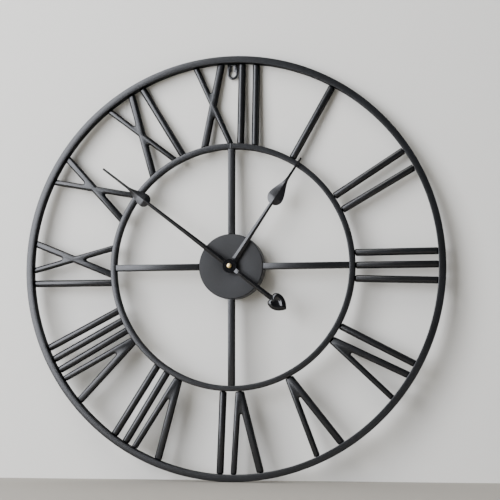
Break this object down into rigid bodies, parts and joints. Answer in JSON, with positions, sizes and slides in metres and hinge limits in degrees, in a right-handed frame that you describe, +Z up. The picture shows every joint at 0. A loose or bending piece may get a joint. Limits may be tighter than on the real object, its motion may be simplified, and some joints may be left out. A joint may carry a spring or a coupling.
{
  "type": "wall clock",
  "caption": "Large open-frame wall clock: concentric black steel rings with Roman numeral bars between them, spokes to a round hub, spade hands and a quartz movement.",
  "frame": {"origin": "the hang point: the top of the keyhole slot in the hanger plate, on the plane of the outer ring's back", "axes": "+Z up, -Y the way the dial faces, +X to the right as seen from the front; the dial's centre is 288 mm below the origin"},
  "size_m": [0.6, 0.0362, 0.6],
  "materials": {
    "black_powder_coat": "satin black powder coat on steel, fine orange peel",
    "black_gloss_lacquer": "gloss black stoved lacquer on pressed metal",
    "brass": "turned bright brass",
    "zinc_steel": "zinc-plated steel strip",
    "black_case_plastic": "moulded black ABS, fine spark texture",
    "white_gear_plastic": "moulded natural acetal",
    "magnet": "ground ferrite",
    "copper_winding": "enamelled copper wire",
    "green_circuit_board": "green solder mask on glass-fibre board",
    "battery_label": "printed sleeve on a steel can, plain colours"
  },
  "bodies": {
    "frame": {"case_back": "black_case_plastic", "case_front": "black_case_plastic", "circuit_board": "green_circuit_board", "coil": "copper_winding", "contact_negative": "zinc_steel", "contact_positive": "zinc_steel", "hex_nut": "brass", "hub_can": "black_powder_coat", "inner_ring": "black_powder_coat", "keyhole_hanger": "black_powder_coat", "numeral_10_x": "black_powder_coat", "numeral_11_i": "black_powder_coat", "numeral_11_x": "black_powder_coat", "numeral_12_i_left": "black_powder_coat", "numeral_12_i_right": "black_powder_coat", "numeral_12_x": "black_powder_coat", "numeral_1_i": "black_powder_coat", "numeral_2_i_left": "black_powder_coat", "numeral_2_i_right": "black_powder_coat", "numeral_3_i_left": "black_powder_coat", "numeral_3_i_middle": "black_powder_coat", "numeral_3_i_right": "black_powder_coat", "numeral_4_i": "black_powder_coat", "numeral_4_v": "black_powder_coat", "numeral_5_v": "black_powder_coat", "numeral_6_i": "black_powder_coat", "numeral_6_v": "black_powder_coat", "numeral_7_i_left": "black_powder_coat", "numeral_7_i_right": "black_powder_coat", "numeral_7_v": "black_powder_coat", "numeral_8_i_left": "black_powder_coat", "numeral_8_i_middle": "black_powder_coat", "numeral_8_i_right": "black_powder_coat", "numeral_8_v": "black_powder_coat", "numeral_9_i": "black_powder_coat", "numeral_9_x": "black_powder_coat", "outer_ring": "black_powder_coat", "spoke_bottom": "black_powder_coat", "spoke_left": "black_powder_coat", "spoke_right": "black_powder_coat", "spoke_top": "black_powder_coat", "stator": "zinc_steel", "threaded_bush": "brass", "washer": "zinc_steel"},
    "minute_train": {"centre_wheel": "white_gear_plastic", "minute_hand": "black_gloss_lacquer", "counterweight": "black_gloss_lacquer", "minute_nut": "brass"},
    "hour_train": {"hour_wheel": "white_gear_plastic", "hour_hand": "black_gloss_lacquer"},
    "setting_train": {"minute_wheel": "white_gear_plastic", "setting_knob": "black_case_plastic"},
    "third_train": {"third_wheel": "white_gear_plastic"},
    "seconds_train": {"seconds_wheel": "white_gear_plastic"},
    "intermediate_train": {"intermediate_wheel": "white_gear_plastic"},
    "rotor_train": {"rotor": "magnet"},
    "battery": {"battery": "battery_label"}
  },
  "joints": [
    {"name": "minute_turn", "type": "hinge", "parent": "frame", "child": "minute_train", "pos_m": [0, -0.012, -0.288], "axis": [0, 1, 0], "continuous": true},
    {"name": "hour_turn", "type": "hinge", "parent": "frame", "child": "hour_train", "pos_m": [0, -0.015, -0.288], "axis": [0, 1, 0], "continuous": true},
    {"name": "setting_turn", "type": "hinge", "parent": "frame", "child": "setting_train", "pos_m": [-0.00743, -0.004, -0.28058], "axis": [0, 1, 0], "continuous": true},
    {"name": "third_turn", "type": "hinge", "parent": "frame", "child": "third_train", "pos_m": [0.00636, -0.004, -0.28164], "axis": [0, 1, 0], "continuous": true},
    {"name": "seconds_turn", "type": "hinge", "parent": "frame", "child": "seconds_train", "pos_m": [0, -0.001, -0.288], "axis": [0, 1, 0], "continuous": true},
    {"name": "intermediate_turn", "type": "hinge", "parent": "frame", "child": "intermediate_train", "pos_m": [0.00634, 0, -0.29096], "axis": [0, 1, 0], "continuous": true},
    {"name": "rotor_turn", "type": "hinge", "parent": "frame", "child": "rotor_train", "pos_m": [0.0128, -0.002, -0.29152], "axis": [0, 1, 0], "continuous": true},
    {"name": "battery_slide", "type": "slide", "parent": "frame", "child": "battery", "axis": [0, 1, 0], "range_m": [0, 0.018]}
  ],
  "couplings": [
    {"joint": "hour_turn", "follows": "minute_turn", "ratio": 0.083333},
    {"joint": "setting_turn", "follows": "minute_turn", "ratio": -0.33333},
    {"joint": "third_turn", "follows": "minute_turn", "ratio": -8},
    {"joint": "seconds_turn", "follows": "minute_turn", "ratio": 60},
    {"joint": "intermediate_turn", "follows": "minute_turn", "ratio": -360},
    {"joint": "rotor_turn", "follows": "minute_turn", "ratio": 1800}
  ]
}
